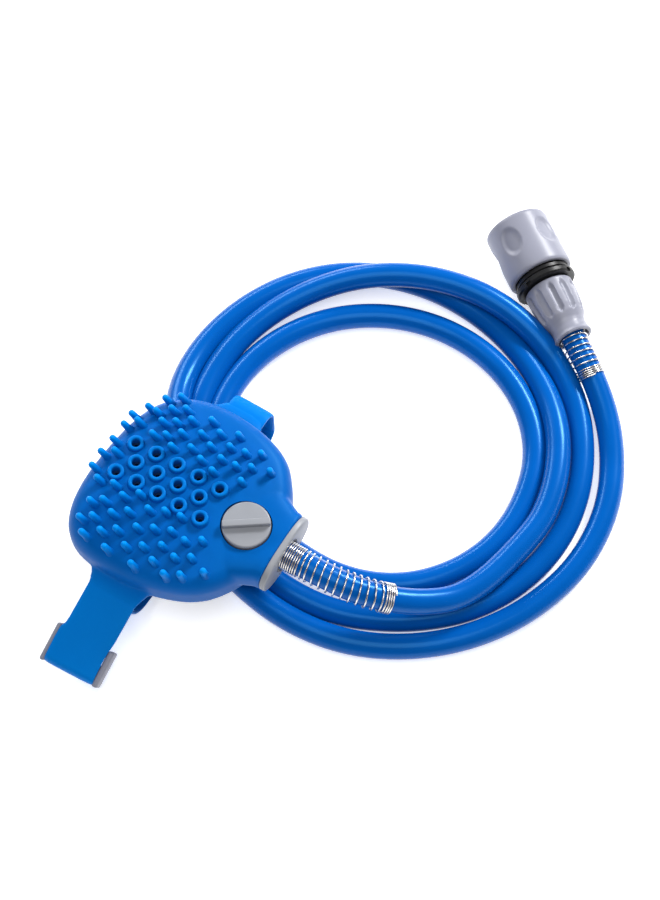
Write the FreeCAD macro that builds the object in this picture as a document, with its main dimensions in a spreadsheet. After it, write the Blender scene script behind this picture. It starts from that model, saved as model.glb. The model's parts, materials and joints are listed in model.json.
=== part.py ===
"""Handheld bath sprayer: palm scrubber with a water knob, hose, springs and tap connector.

All sizes are in millimetres, +Z up. The head's own coordinates have X along the hose where it
leaves the head, with (0, 0) near the middle of the pad; the sheet's head_x and head_y move them
into the part's frame, whose origin is on the floor under the middle of the head.
"""
import FreeCAD, Part
import math
import os
import Sketcher

Vector = FreeCAD.Vector
UP = Vector(0, 0, 1)
ALONG_HOSE = FreeCAD.Rotation(Vector(0, 1, 0), 90)

SIZES = {
    # where the head's coordinates lie in the part's frame
    "head_x": -16.0, "head_y": 16.6,
    # silicone pad
    "pad_left": -42.0, "pad_front": -50.5, "pad_length": 92.0, "pad_width": 104.5,
    "pad_mid_x": 4.0, "pad_mid_y": 1.75, "pad_corner": 33.0, "pad_base": 28.5,
    "crown_top": 53.5, "crown_radius": 205.0, "skin_wall": 3.0, "skin_gap": 0.2,
    "rim_wall": 6.5,
    "neck_start": 40.0, "neck_end": 61.6, "neck_wide": 74.8, "neck_narrow": 38.0,
    "neck_low": 29.4, "neck_high": 49.6, "neck_axis": 39.6,
    "nub_height": 6.5, "nub_base": 2.2, "nub_tip": 1.5,
    "nozzle_x": -3.0, "nozzle_y": -0.8, "nozzle_pitch": 12.3, "nozzle_row": 8.9,
    "nozzle_ring": 4.3, "nozzle_hole": 2.1, "nozzle_height": 2.5, "jet_radius": 1.0,
    "spigot_radius": 1.95, "spigot_sunk": 2.2, "nub_lean_x": -0.38, "nub_lean_rise": 0.007,
    "nub_lean_y": -0.1,
    # water chamber
    "shell_wall": 2.5, "shell_split": 40.0, "gasket_height": 1.6, "gasket_width": 1.2,
    "boss_radius": 3.6, "screw_radius": 1.5, "screw_head": 2.8, "pilot_radius": 1.25,
    # valve and knob
    "knob_x": 42.0, "knob_radius": 12.5, "knob_base": 47.3, "knob_top": 52.0, "knob_gap": 0.9,
    "knob_angle": 35.0, "rib_length": 24.6, "rib_width": 3.8, "rib_height": 3.4,
    "housing_radius": 11.0, "housing_base": 32.6, "housing_top": 46.5,
    "spool_radius": 7.0, "spool_base": 34.6, "spool_top": 43.6, "stem_radius": 3.0,
    "stem_top": 50.5, "running_gap": 0.05, "port_radius": 3.0, "seat_radius": 4.6,
    "seal_radius": 4.4, "seal_height": 1.4,
    # hose and its fittings
    "hose_radius": 6.5, "hose_bore": 4.5, "barb_radius": 4.45, "barb_ridge": 4.75,
    "barb_bore": 2.8, "barb_start": 55.0, "barb_end": 74.0, "hose_start": 58.0,
    "flange_major": 21.0, "flange_minor": 11.6, "flange_height": 3.0, "flange_round": 1.1,
    "spring_inner": 6.6, "spring_outer": 7.9, "head_spring": 62.0, "tap_spring": 26.0,
    # coil of hose on the floor
    "coil_x": 59.5, "coil_y": 90.6, "coil_major": 107.0, "coil_minor": 99.0,
    "hole_x": 62.9, "hole_y": 86.3, "hole_major": 80.0, "hole_minor": 71.0,
    "coil_turn": 31.4, "coil_height": 22.0, "coil_round": 6.0,
    # strap and buckle
    "strap_wide": 23.0, "strap_left": -10.5, "strap_thick": 2.0, "tongue_wide": 28.0,
    "tongue_left": -14.2, "tongue_slope": 20.0, "tongue_return": 7.0, "tail_length": 10.0,
    "buckle_y": -95.5, "buckle_z": 11.3, "bar_step": 13.0, "bar_drop": 2.6, "bar_radius": 1.5,
    "loop_radius": 2.8, "buckle_left": -17.2, "buckle_wide": 33.6, "buckle_rail": 2.5,
    "rail_back": -3.9, "rail_length": 19.9, "rail_low": -5.0, "rail_height": 7.6,
    "channel_left": -11.0, "channel_wide": 25.0, "channel_height": 2.4,
    # tap connector, stations measured from its mouth
    "tap_x": 64.0, "tap_y": 233.3, "tap_z": 17.5, "tap_heading": -36.0,
    "collar_radius": 17.5, "collar_length": 33.0, "collar_bore": 15.2, "collar_land": 13.2,
    "collar_recess": 14.6, "core_radius": 12.8, "core_entry": 9.2, "socket_radius": 8.2,
    "socket_start": 12.0, "socket_length": 14.0, "flange_start": 33.5, "ring_radius": 15.0,
    "groove_start": 35.6, "groove_radius": 14.0, "lug_start": 36.8, "lug_radius": 16.4,
    "lug_end": 40.2, "thread_end": 52.0, "thread_radius": 11.0, "tap_barb_end": 66.0,
    "hose_end": 44.0, "nut_start": 41.0, "nut_end": 73.0, "nut_radius": 13.6,
    "collet_start": 53.0, "collet_end": 61.0, "collet_radius": 10.0, "claw_inner": 8.5,
    "claw_outer": 12.4, "claw_start": 4.0, "claw_length": 3.4, "claw_width": 5.0,
    "seal_start": 19.0, "seal_width": 2.6, "seal_outer": 9.9,
}

doc = FreeCAD.newDocument("bath_sprayer")
sheet = doc.addObject("Spreadsheet::Sheet", "Sizes")
for row, (word, size) in enumerate(SIZES.items(), start=1):
    sheet.set("A%d" % row, word)
    sheet.set("B%d" % row, str(size))
    sheet.setAlias("B%d" % row, word)
doc.recompute()
parts = []


# ---- how a size is written: a number, a name of the sheet, "-name", or a tuple that adds up ----

def value(term):
    if isinstance(term, tuple):
        return sum(value(item) for item in term)
    if isinstance(term, str):
        return -SIZES[term[1:]] if term.startswith("-") else SIZES[term]
    return float(term)


def rule(term):
    if isinstance(term, tuple):
        return " + ".join("(%s)" % rule(item) for item in term)
    if isinstance(term, str):
        return "-Sizes." + term[1:] if term.startswith("-") else "Sizes." + term
    return repr(float(term))


def place(item, at, rotation=FreeCAD.Rotation()):
    """Put an item at a point of the head's coordinates, bound to the sheet."""
    x, y, z = at
    item.Placement = FreeCAD.Placement(Vector(), rotation)
    item.setExpression("Placement.Base.x", rule(("head_x", x)))
    item.setExpression("Placement.Base.y", rule(("head_y", y)))
    item.setExpression("Placement.Base.z", rule(z))
    return item


def primitive(kind, name, at, rotation=FreeCAD.Rotation(), **sizes):
    item = doc.addObject("Part::" + kind, name)
    for prop, term in sizes.items():
        item.setExpression(prop, rule(term))
    return place(item, at, rotation)


def cylinder(name, radius, height, at, rotation=FreeCAD.Rotation()):
    return primitive("Cylinder", name, at, rotation, Radius=radius, Height=height)


def box(name, length, width, height, at, rotation=FreeCAD.Rotation()):
    return primitive("Box", name, at, rotation, Length=length, Width=width, Height=height)


def fuse(name, *items):
    result = doc.addObject("Part::MultiFuse", name)
    result.Shapes = list(items)
    return result


def common(name, *items):
    result = doc.addObject("Part::MultiCommon", name)
    result.Shapes = list(items)
    return result


def cut(name, base, *tools):
    result = doc.addObject("Part::Cut", name)
    result.Base = base
    result.Tool = tools[0] if len(tools) == 1 else fuse(name + "_tools", *tools)
    return result


def group(name, shapes):
    """A set of repeated shapes, worked out in a loop and put in the part's frame."""
    item = doc.addObject("Part::Feature", name)
    item.Shape = Part.makeCompound(shapes)
    item.Placement = FreeCAD.Placement(Vector(SIZES["head_x"], SIZES["head_y"], 0), FreeCAD.Rotation())
    return item


def keep(item):
    """Count an item as a sub-part; its label names its file."""
    parts.append(item)
    return item


def origin_plane(body, role):
    return next(plane for plane in body.Origin.OriginFeatures if plane.Role == role)


def closed_sketch(body, name, role, corners):
    """A closed outline of straight lines whose corners are bound to the sheet."""
    sketch = body.newObject("Sketcher::SketchObject", name)
    sketch.AttachmentSupport = [(origin_plane(body, role), "")]
    sketch.MapMode = "FlatFace"
    points = [Vector(value(across), value(along), 0) for across, along in corners]
    for index, point in enumerate(points):
        sketch.addGeometry(Part.LineSegment(point, points[(index + 1) % len(points)]))
    for index, (across, along) in enumerate(corners):
        following = (index + 1) % len(points)
        sketch.addConstraint(Sketcher.Constraint("Coincident", index, 2, following, 1))
        for kind, term in (("DistanceX", across), ("DistanceY", along)):
            if value(term) == 0.0:
                axis = -2 if kind == "DistanceX" else -1
                sketch.addConstraint(Sketcher.Constraint("PointOnObject", index, 1, axis))
            else:
                number = sketch.addConstraint(
                    Sketcher.Constraint(kind, -1, 1, index, 1, value(term)))
                sketch.setExpression("Constraints[%d]" % number, rule(term))
    return sketch


def turned(name, profile, at, rotation=FreeCAD.Rotation()):
    """A round piece turned about its own Z axis from (radius, height) corners."""
    body = doc.addObject("PartDesign::Body", name)
    sketch = closed_sketch(body, name + "_profile", "XZ_Plane", profile)
    turn = body.newObject("PartDesign::Revolution", name + "_turn")
    turn.Profile = (sketch, [""])
    turn.ReferenceAxis = (sketch, ["V_Axis"])
    turn.Angle = 360
    return place(body, at, rotation)


def rounded_block(name, inset, low, high):
    """The pad's outline, drawn in by an inset, as a block with round corners."""
    left, right = ("pad_left", inset), ("pad_left", "pad_length", -inset)
    front, back = ("pad_front", inset), ("pad_front", "pad_width", -inset)
    body = doc.addObject("PartDesign::Body", name)
    corners = [(left, front), (right, front), (right, back), (left, back)]
    sketch = closed_sketch(body, name + "_outline", "XY_Plane", corners)
    pad = body.newObject("PartDesign::Pad", name + "_pad")
    pad.Profile = (sketch, [""])
    pad.setExpression("Length", rule((high, -value(low))))
    doc.recompute()
    upright = ["Edge%d" % (index + 1) for index, edge in enumerate(pad.Shape.Edges)
               if edge.tangentAt(edge.FirstParameter).isEqual(UP, 1e-6)
               or edge.tangentAt(edge.FirstParameter).isEqual(-UP, 1e-6)]
    fillet = body.newObject("PartDesign::Fillet", name + "_corners")
    fillet.Base = (pad, upright)
    fillet.setExpression("Radius", rule(("pad_corner", -inset)))
    body.Tip = fillet
    return place(body, (0, 0, low))


def crown(name, inset):
    at = ("pad_mid_x", "pad_mid_y", ("crown_top", "-crown_radius"))
    return primitive("Sphere", name, at, Radius=("crown_radius", -inset))


def neck_wedge(name, inset, side_inset, reach):
    """The neck, which narrows from the pad to the hose flange."""
    half_wide = value("neck_wide") / 2 - side_inset
    half_narrow = value("neck_narrow") / 2 - side_inset
    return primitive(
        "Wedge", name, ("neck_start", 0.6, 0), FreeCAD.Rotation(UP, -90),
        Xmin=-half_wide, Xmax=half_wide, X2min=-half_narrow, X2max=half_narrow,
        Ymin=0, Ymax=("neck_end", "-neck_start", reach),
        Zmin=("neck_low", inset), Zmax=("neck_high", -inset),
        Z2min=("neck_low", inset), Z2max=("neck_high", -inset))


def half_space(name, low, high):
    return box(name, 240, 240, (high, -value(low)), (-120, -120, low))


def crown_height(x, y):
    across = math.hypot(x - SIZES["pad_mid_x"], y - SIZES["pad_mid_y"])
    drop = SIZES["crown_radius"] - math.sqrt(SIZES["crown_radius"] ** 2 - across ** 2)
    return SIZES["crown_top"] - drop


# ---- silicone pad ------------------------------------------------------------------------------

def nozzle_places():
    """Three rows of jets, five, four and five, the middle row set half a pitch aside."""
    for row, count in ((1, 5), (0, 4), (-1, 5)):
        for index in range(count):
            offset = index - (count - 1) / 2
            yield (SIZES["nozzle_x"] + offset * SIZES["nozzle_pitch"],
                   SIZES["nozzle_y"] + row * SIZES["nozzle_row"])


def nub_places():
    """Nubs' tips, in columns across the pad: x, first y, step and how many, on each side."""
    far = [(-39.2, 13.5, 7.0, 2), (-34.4, 18.5, 9.6, 2), (-29.6, 27.8, 8.7, 2),
           (-23.6, 15.6, 8.6, 4), (-17.4, 18.4, 9.0, 3), (-11.5, 14.3, 9.0, 3),
           (-2.7, 18.6, 9.4, 3), (4.8, 15.7, 8.8, 3), (13.1, 13.5, 8.0, 4),
           (21.0, 22.2, 8.8, 2), (28.0, 16.6, 9.2, 3), (36.8, 29.3, 9.0, 1)]
    near = [(-40.3, -13.2, 9.0, 1), (-34.1, -17.8, 9.0, 1), (-30.7, -29.3, 9.4, 2),
            (-25.2, -16.5, 9.4, 4), (-17.6, -19.7, 10.0, 3), (-10.9, -14.9, 10.3, 4),
            (-2.7, -19.6, 10.4, 3), (5.0, -16.4, 10.0, 4), (13.1, -14.8, 8.4, 4),
            (21.3, -23.9, 9.4, 3), (28.4, -19.4, 9.8, 3), (37.4, -32.0, 9.0, 1)]
    side = [(-39.4, 3.9, 9.0, 1), (-40.6, -4.8, 9.0, 1), (-34.8, -1.3, 9.0, 1)]
    for columns, direction in ((far, 1), (near, -1), (side, 1)):
        for x, first, step, count in columns:
            for index in range(count):
                yield x, first + direction * index * step


def nub_lean(x):
    """The nubs lean to the hose's far side, more so at the pad's outer end."""
    return Vector(SIZES["nub_lean_x"] + SIZES["nub_lean_rise"] * x, SIZES["nub_lean_y"], 1).normalize()


def make_scrubber_face():
    outer = common("face_outer", rounded_block("face_block", 0.0, "pad_base", 58), crown("face_crown", 0))
    wall, rim = SIZES["skin_wall"], SIZES["rim_wall"]
    inner = common("face_inner", rounded_block("face_room", rim, 28, 57), crown("face_ceiling", wall))
    shell = cut("face_shell", fuse("face_solid", outer, neck_wedge("face_neck", 0, 0, 0)),
                inner, neck_wedge("face_neck_room", wall, rim, 1))
    rings = []
    holes = []
    for x, y in nozzle_places():
        height = crown_height(x, y)
        rings.append(Part.makeCylinder(
            SIZES["nozzle_ring"], 1.5 + SIZES["nozzle_height"], Vector(x, y, height - 1.5)))
        holes.append(Part.makeCylinder(SIZES["nozzle_hole"], 14, Vector(x, y, height - 8)))
    nubs = []
    for tip_x, tip_y in nub_places():
        lean = nub_lean(tip_x)
        x = tip_x - lean.x * SIZES["nub_height"]
        y = tip_y - lean.y * SIZES["nub_height"]
        root = Vector(x, y, crown_height(x, y)) - lean * 1.5
        nubs.append(Part.makeCone(SIZES["nub_base"], SIZES["nub_tip"], 1.5 + SIZES["nub_height"], root, lean))
    raised = fuse("face_raised", shell, group("face_rings", rings), group("face_nubs", nubs))
    knob_hole = cylinder("face_knob_hole", ("knob_radius", "knob_gap"), 30, ("knob_x", 0, 40))
    keep(cut("scrubber_face", raised, group("face_holes", holes), knob_hole))


def strip(name, left, width, runs):
    """A bent silicone strip, its middle line given in the side view and drawn out along X."""
    half = SIZES["strap_thick"] / 2
    edges = []
    for run in runs:
        edges += [run(half)[0], run(-half)[0]]
    for run, end in ((runs[0], 1), (runs[-1], 2)):
        edges.append(Part.LineSegment(run(half)[end], run(-half)[end]).toShape())
    item = doc.addObject("Part::Feature", name)
    face = Part.Face(Part.Wire(Part.__sortEdges__(edges)))
    item.Shape = face.extrude(Vector(SIZES[width], 0, 0))
    item.Placement = FreeCAD.Placement(
        Vector(SIZES["head_x"] + SIZES[left], SIZES["head_y"], 0), FreeCAD.Rotation())
    return keep(item)


def side(y, z):
    return Vector(0, y, z)


def straight(start, end):
    """A straight run; the result makes its edge, start and end at a distance to its left."""
    along = (side(*end) - side(*start)).normalize()
    leftward = Vector(0, -along.z, along.y)

    def shifted(offset):
        near, far = side(*start) + leftward * offset, side(*end) + leftward * offset
        return Part.LineSegment(near, far).toShape(), near, far
    return shifted


def on_circle(centre, radius, angle):
    turn = math.radians(angle)
    return centre[0] + radius * math.cos(turn), centre[1] + radius * math.sin(turn)


def bend(centre, radius, first, last):
    """A bend between two angles in degrees; the result is as for a straight run."""
    inward = 1 if last > first else -1

    def shifted(offset):
        reach = radius - inward * offset
        near, middle, far = [side(*on_circle(centre, reach, angle))
                             for angle in (first, (first + last) / 2, last)]
        return Part.Arc(near, middle, far).toShape(), near, far
    return shifted


def buckle_point(along, above):
    """A point of the buckle's slanted side view, from its outer bar."""
    slope = math.radians(SIZES["tongue_slope"])
    return (SIZES["buckle_y"] + along * math.cos(slope) - above * math.sin(slope),
            SIZES["buckle_z"] + along * math.sin(slope) + above * math.cos(slope))


def make_hand_strap():
    """From the far rim down and back along the floor, up to the buckle's inner bar and round it."""
    half = SIZES["strap_thick"] / 2
    rim = SIZES["pad_front"] + SIZES["pad_width"]
    loop = SIZES["loop_radius"]
    slope = SIZES["tongue_slope"]
    turn_y, turn_r, top = 61.3, 4.5, 29.5
    rise_y, rise_r, rise_angle, crest_r = -43.0, 13.0, 65.0, 6.0
    bar = buckle_point(SIZES["bar_step"], -SIZES["bar_drop"])
    lift = on_circle((rise_y, half + rise_r), rise_r, -90 - rise_angle)
    over_bar = on_circle(bar, loop, 90 + slope)
    steep, gentle = math.radians(rise_angle), math.radians(slope)
    crest_y = -crest_r * (math.sin(steep) + math.sin(gentle))
    crest_z = crest_r * (math.cos(gentle) - math.cos(steep))
    # how far the steep run goes before the crest meets the line that leads over the inner bar
    gap = over_bar[1] + (lift[0] + crest_y - over_bar[0]) * math.tan(gentle) - lift[1] - crest_z
    run = gap / (math.sin(steep) + math.cos(steep) * math.tan(gentle))
    crest_start = (lift[0] - run * math.cos(steep), lift[1] + run * math.sin(steep))
    crest_end = (crest_start[0] + crest_y, crest_start[1] + crest_z)
    crest = (crest_start[0] - crest_r * math.sin(steep), crest_start[1] - crest_r * math.cos(steep))
    tail = on_circle(bar, loop, slope - 90)
    tail_reach = SIZES["tail_length"]
    strip("hand_strap", "strap_left", "strap_wide", [
        straight((rim, top), (turn_y, top)),
        bend((turn_y, top - turn_r), turn_r, 90, 0),
        straight((turn_y + turn_r, top - turn_r), (turn_y + turn_r, half + turn_r)),
        bend((turn_y, half + turn_r), turn_r, 0, -90),
        straight((turn_y, half), (rise_y, half)),
        bend((rise_y, half + rise_r), rise_r, -90, -90 - rise_angle),
        straight(lift, crest_start),
        bend(crest, crest_r, 90 - rise_angle, 90 + slope),
        straight(crest_end, over_bar),
        bend(bar, loop, 90 + slope, 270 + slope),
        straight(tail, (tail[0] + tail_reach * math.cos(gentle), tail[1] + tail_reach * math.sin(gentle)))])


def make_strap_tongue():
    """Down from the near rim, round the outer bar and back a little way under it."""
    slope = SIZES["tongue_slope"]
    lean = math.radians(slope)
    loop = SIZES["loop_radius"]
    bar = buckle_point(0, 0)
    over = on_circle(bar, loop, 90 + slope)
    under = on_circle(bar, loop, slope - 90)
    rim = SIZES["pad_front"]
    root = (rim, over[1] + (rim - over[0]) * math.tan(lean))
    back = SIZES["tongue_return"]
    strip("strap_tongue", "tongue_left", "tongue_wide", [
        straight(root, over),
        bend(bar, loop, 90 + slope, 270 + slope),
        straight(under, (under[0] + back * math.cos(lean), under[1] + back * math.sin(lean)))])


def make_buckle():
    """Two slanted rails joined by the bars that the tongue and the strap go round."""
    slant = FreeCAD.Rotation(Vector(1, 0, 0), SIZES["tongue_slope"])
    corner_y, corner_z = buckle_point(SIZES["rail_back"], SIZES["rail_low"])
    rails = []
    right = ("buckle_left", "buckle_wide", "-buckle_rail")
    for name, left in (("left", "buckle_left"), ("right", right)):
        rails.append(box("buckle_rail_" + name, "buckle_rail", "rail_length", "rail_height",
                         (left, corner_y, corner_z), slant))
    inner = buckle_point(SIZES["bar_step"], -SIZES["bar_drop"])
    for name, bar in (("outer", buckle_point(0, 0)), ("inner", inner)):
        rails.append(cylinder("buckle_bar_" + name, "bar_radius", ("buckle_wide", -1.0),
                              (("buckle_left", 0.5), bar[0], bar[1]), ALONG_HOSE))
    keep(fuse("strap_buckle", *rails))


# ---- water chamber -----------------------------------------------------------------------------

def screw_places():
    for x in (-21.0, 2.0, 26.0):
        for y in (-34.5, 37.5):
            yield x, y


def shell_inset():
    return SIZES["skin_wall"] + SIZES["skin_gap"]


def rim_inset():
    return SIZES["rim_wall"] + SIZES["skin_gap"]


def make_gasket(housing_room):
    inset = rim_inset() + 0.6
    low = SIZES["shell_split"] - SIZES["gasket_height"] / 2
    high = low + SIZES["gasket_height"]
    room = rounded_block("gasket_room", inset + SIZES["gasket_width"], low - 1, high + 1)
    return cut("chamber_gasket", rounded_block("gasket_block", inset, low, high), room, housing_room)


def make_chamber():
    inset = shell_inset()
    split = SIZES["shell_split"]
    housing_room = cylinder("housing_room", ("housing_radius", 0.1), 20, ("knob_x", 0, "housing_base"))
    gasket = make_gasket(housing_room)
    well = cylinder("well_wall", 16, 8, ("knob_x", 0, 42.5))
    seat = cylinder("housing_seat", 10, ("housing_base", -30), ("knob_x", 0, 30))
    spigots = []
    jets = []
    for x, y in nozzle_places():
        top = crown_height(x, y) - SIZES["spigot_sunk"]
        spigots.append(Part.makeCylinder(SIZES["spigot_radius"], 6.0, Vector(x, y, top - 6.0)))
        jets.append(Part.makeCylinder(SIZES["jet_radius"], 12.0, Vector(x, y, top - 10.0)))
    bosses = []
    pilots = []
    heads = []
    for x, y in screw_places():
        bosses.append(Part.makeCylinder(SIZES["boss_radius"], 16.0, Vector(x, y, 29.0)))
        pilots.append(Part.makeCylinder(SIZES["pilot_radius"], 3.5, Vector(x, y, split - 0.5)))
        heads.append(Part.makeCylinder(SIZES["screw_head"] + 0.3, 3.0, Vector(x, y, 28.0)))
        heads.append(Part.makeCylinder(SIZES["screw_radius"] + 0.2, 12.0, Vector(x, y, 29.0)))

    def domed(name, wall):
        block = rounded_block(name + "_block", rim_inset() + wall, "pad_base", 57)
        return common(name + "_dome", block, crown(name + "_crown", inset + wall))

    solid = fuse("shell_solid", domed("shell", 0), neck_wedge("shell_neck", inset, rim_inset(), 0))
    fittings = common("shell_fittings", fuse("shell_posts", group("shell_bosses", bosses), well), solid)
    supports = common("back_fittings", fuse("back_posts", group("back_bosses", bosses), seat), solid)
    room = domed("room", SIZES["shell_wall"])
    top_room = common("plate_room", room, half_space("plate_room_half", 30, 55))
    plate = fuse("plate_solid", cut("plate_shell", solid, top_room), fittings,
                 group("plate_spigots", spigots))
    channel = cylinder("neck_channel", ("hose_radius", 0.2), 17, (49.5, 0.6, "neck_axis"), ALONG_HOSE)
    knob_well = cylinder("knob_well", ("knob_radius", "knob_gap"), 20, ("knob_x", 0, "housing_top"))
    top_half = half_space("plate_half", split, 60)
    keep(cut("nozzle_plate", common("plate_top", plate, top_half),
             group("plate_jets", jets), group("plate_pilots", pilots), channel, housing_room,
             knob_well, gasket))
    back_room = common("back_room", domed("back", SIZES["shell_wall"]),
                       half_space("back_room_half", 31.5, 55))
    back = fuse("back_solid", cut("back_shell", solid, back_room), supports)
    bottom_half = half_space("back_half", "pad_base", split)
    keep(cut("chamber_back", common("back_low", back, bottom_half),
             group("back_heads", heads), channel, housing_room, gasket))
    keep(gasket)


def make_screws():
    screws = []
    for x, y in screw_places():
        shank = Part.makeCylinder(SIZES["screw_radius"], 12.0, Vector(x, y, 30.0))
        head = Part.makeCylinder(SIZES["screw_head"], 2.0, Vector(x, y, 29.0))
        slot = Part.makeBox(4.0, 0.8, 0.8, Vector(x - 2.0, y - 0.4, 28.6))
        screws.append(shank.fuse(head).cut(slot).removeSplitter())
    keep(group("chamber_screws", screws))


# ---- valve and knob ----------------------------------------------------------------------------

def make_valve():
    gap = SIZES["running_gap"]
    centre = ("knob_x", 0, 0)
    bore = ("spool_radius", gap)
    stem_hole = ("stem_radius", gap)
    seal_low = ("spool_top", 1.2)
    seal_high = (seal_low, "seal_height")
    body = turned("housing_body", [
        (bore, "housing_base"), ("housing_radius", "housing_base"),
        ("housing_radius", "housing_top"), (stem_hole, "housing_top"), (stem_hole, seal_high),
        ("seal_radius", seal_high), ("seal_radius", seal_low), (stem_hole, seal_low),
        (stem_hole, ("spool_top", 0.2)), (bore, ("spool_top", 0.2))], centre)
    inlet = cylinder("housing_inlet", 6.5, 5, (50, 0.6, "neck_axis"), ALONG_HOSE)
    spool_room = cylinder("housing_spool_room", bore, 12, ("knob_x", 0, "housing_base"))
    port = cylinder("housing_port", "port_radius", 27, (("knob_x", -13), 0.6, "neck_axis"), ALONG_HOSE)
    seat_room = cylinder("housing_seat_room", "seat_radius", 18, (("knob_x", -9), 0.6, "neck_axis"),
                         ALONG_HOSE)
    keep(cut("valve_housing", fuse("housing_solid", body, inlet), spool_room, port, seat_room))
    keep(cylinder("valve_cap", bore, 1.9, ("knob_x", 0, "housing_base")))
    seat_blank = cylinder("seat_blank", "seat_radius", 18, (("knob_x", -9), 0.6, "neck_axis"), ALONG_HOSE)
    seat_port = cylinder("seat_port", "port_radius", 20, (("knob_x", -10), 0.6, "neck_axis"), ALONG_HOSE)
    seat_bore = cylinder("seat_bore", bore, 12, ("knob_x", 0, 33))
    keep(cut("valve_seats", seat_blank, seat_port, seat_bore))
    keep(turned("stem_seal", [(stem_hole, seal_low), ("seal_radius", seal_low),
                              ("seal_radius", seal_high), (stem_hole, seal_high)], centre))
    spool = turned("spool_blank", [
        (0, "spool_base"), ("spool_radius", "spool_base"), ("spool_radius", "spool_top"),
        ("stem_radius", "spool_top"), ("stem_radius", "stem_top"), (0, "stem_top")], centre)
    direction = FreeCAD.Rotation(UP, SIZES["knob_angle"]).multiply(ALONG_HOSE)
    reach = math.radians(SIZES["knob_angle"])
    start = (("knob_x", -10 * math.cos(reach)), -10 * math.sin(reach), "neck_axis")
    keep(cut("valve_spool", spool, cylinder("spool_port", "port_radius", 20, start, direction)))


def make_knob():
    centre = ("knob_x", 0, 0)
    rim = 0.8
    disc = turned("knob_disc", [
        (0, "knob_base"), ("knob_radius", "knob_base"), ("knob_radius", ("knob_top", -rim)),
        (("knob_radius", -rim), "knob_top"), (0, "knob_top")], centre)
    half_length, half_width = SIZES["rib_length"] / 2, SIZES["rib_width"] / 2
    turn = math.radians(SIZES["knob_angle"])
    corner_x = -half_length * math.cos(turn) + half_width * math.sin(turn)
    corner_y = -half_length * math.sin(turn) - half_width * math.cos(turn)
    rib = box("knob_rib", "rib_length", "rib_width", ("rib_height", 1),
              (("knob_x", corner_x), corner_y, ("knob_top", -1)),
              FreeCAD.Rotation(UP, SIZES["knob_angle"]))
    socket = cylinder("knob_socket", "stem_radius", 6, ("knob_x", 0, ("stem_top", -6)))
    keep(cut("knob", fuse("knob_solid", disc, rib), socket))


def make_neck():
    centre = ("neck_end", 0.6, "neck_axis")
    oval = doc.addObject("Part::Ellipse", "flange_oval")
    oval.setExpression("MajorRadius", rule("flange_major"))
    oval.setExpression("MinorRadius", rule("flange_minor"))
    plate = doc.addObject("Part::Extrusion", "flange_plate")
    plate.Base = oval
    plate.Dir = Vector(0, 0, 1)
    plate.DirMode = "Custom"
    plate.setExpression("LengthFwd", rule("flange_height"))
    plate.Solid = True
    facing = FreeCAD.Rotation(Vector(0, 1, 0), Vector(0, 0, 1), Vector(1, 0, 0), "ZXY")
    place(plate, centre, facing)
    doc.recompute()
    rounded = doc.addObject("Part::Fillet", "flange_rounded")
    rounded.Base = plate
    rounds = []
    for index, edge in enumerate(plate.Shape.Edges):
        middle = edge.BoundBox.Center.x
        if edge.BoundBox.XLength < 0.1 and middle > SIZES["head_x"] + SIZES["neck_end"] + 1:
            rounds.append((index + 1, SIZES["flange_round"], SIZES["flange_round"]))
    rounded.Edges = rounds
    hole = cylinder("flange_hole", "spring_inner", 10, (("neck_end", -2), 0.6, "neck_axis"), ALONG_HOSE)
    spring_seat = cylinder("flange_seat", ("spring_outer", 0.5), 5, (("neck_end", 1.2), 0.6, "neck_axis"),
                           ALONG_HOSE)
    keep(cut("neck_flange", rounded, hole, spring_seat))


def make_hose_barb():
    """A flanged tube with three ridges, turned about its own axis and laid along the hose."""
    length = ("barb_end", "-barb_start")
    flange = ("hose_start", "-barb_start")
    profile = [("barb_bore", 0), (6.3, 0), (6.3, flange), ("barb_radius", flange)]
    for ridge in range(3):
        start = SIZES["hose_start"] - SIZES["barb_start"] + 3.0 + 4.0 * ridge
        profile += [("barb_radius", start), ("barb_ridge", start + 0.4), ("barb_radius", start + 2.4)]
    profile += [("barb_radius", length), ("barb_bore", length)]
    keep(turned("hose_barb", profile, ("barb_start", 0.6, "neck_axis"), ALONG_HOSE))


# ---- hose --------------------------------------------------------------------------------------
# Points of the route that isn't coiled, in the head's coordinates.

LEAD_ROUTE = [
    (58.0, 0.6, 39.6), (83.0, 0.6, 39.6), (107.0, 4.8, 34.5), (130.0, 17.2, 25.4),
    (149.0, 37.0, 18.5)]
TAIL_ROUTE = [
    (22.0, -6.0, 9.0), (45.0, -13.5, 7.0), (75.0, -17.6, 6.5), (106.0, -13.2, 6.5),
    (134.0, 0.6, 6.5), (158.0, 21.6, 6.5), (176.4, 50.0, 6.5), (186.4, 85.0, 6.5),
    (183.2, 121.0, 6.5), (168.6, 151.6, 6.5), (149.6, 172.4, 11.0), (126.0, 188.2, 17.5),
    (99.6, 207.4, 17.5)]


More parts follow.
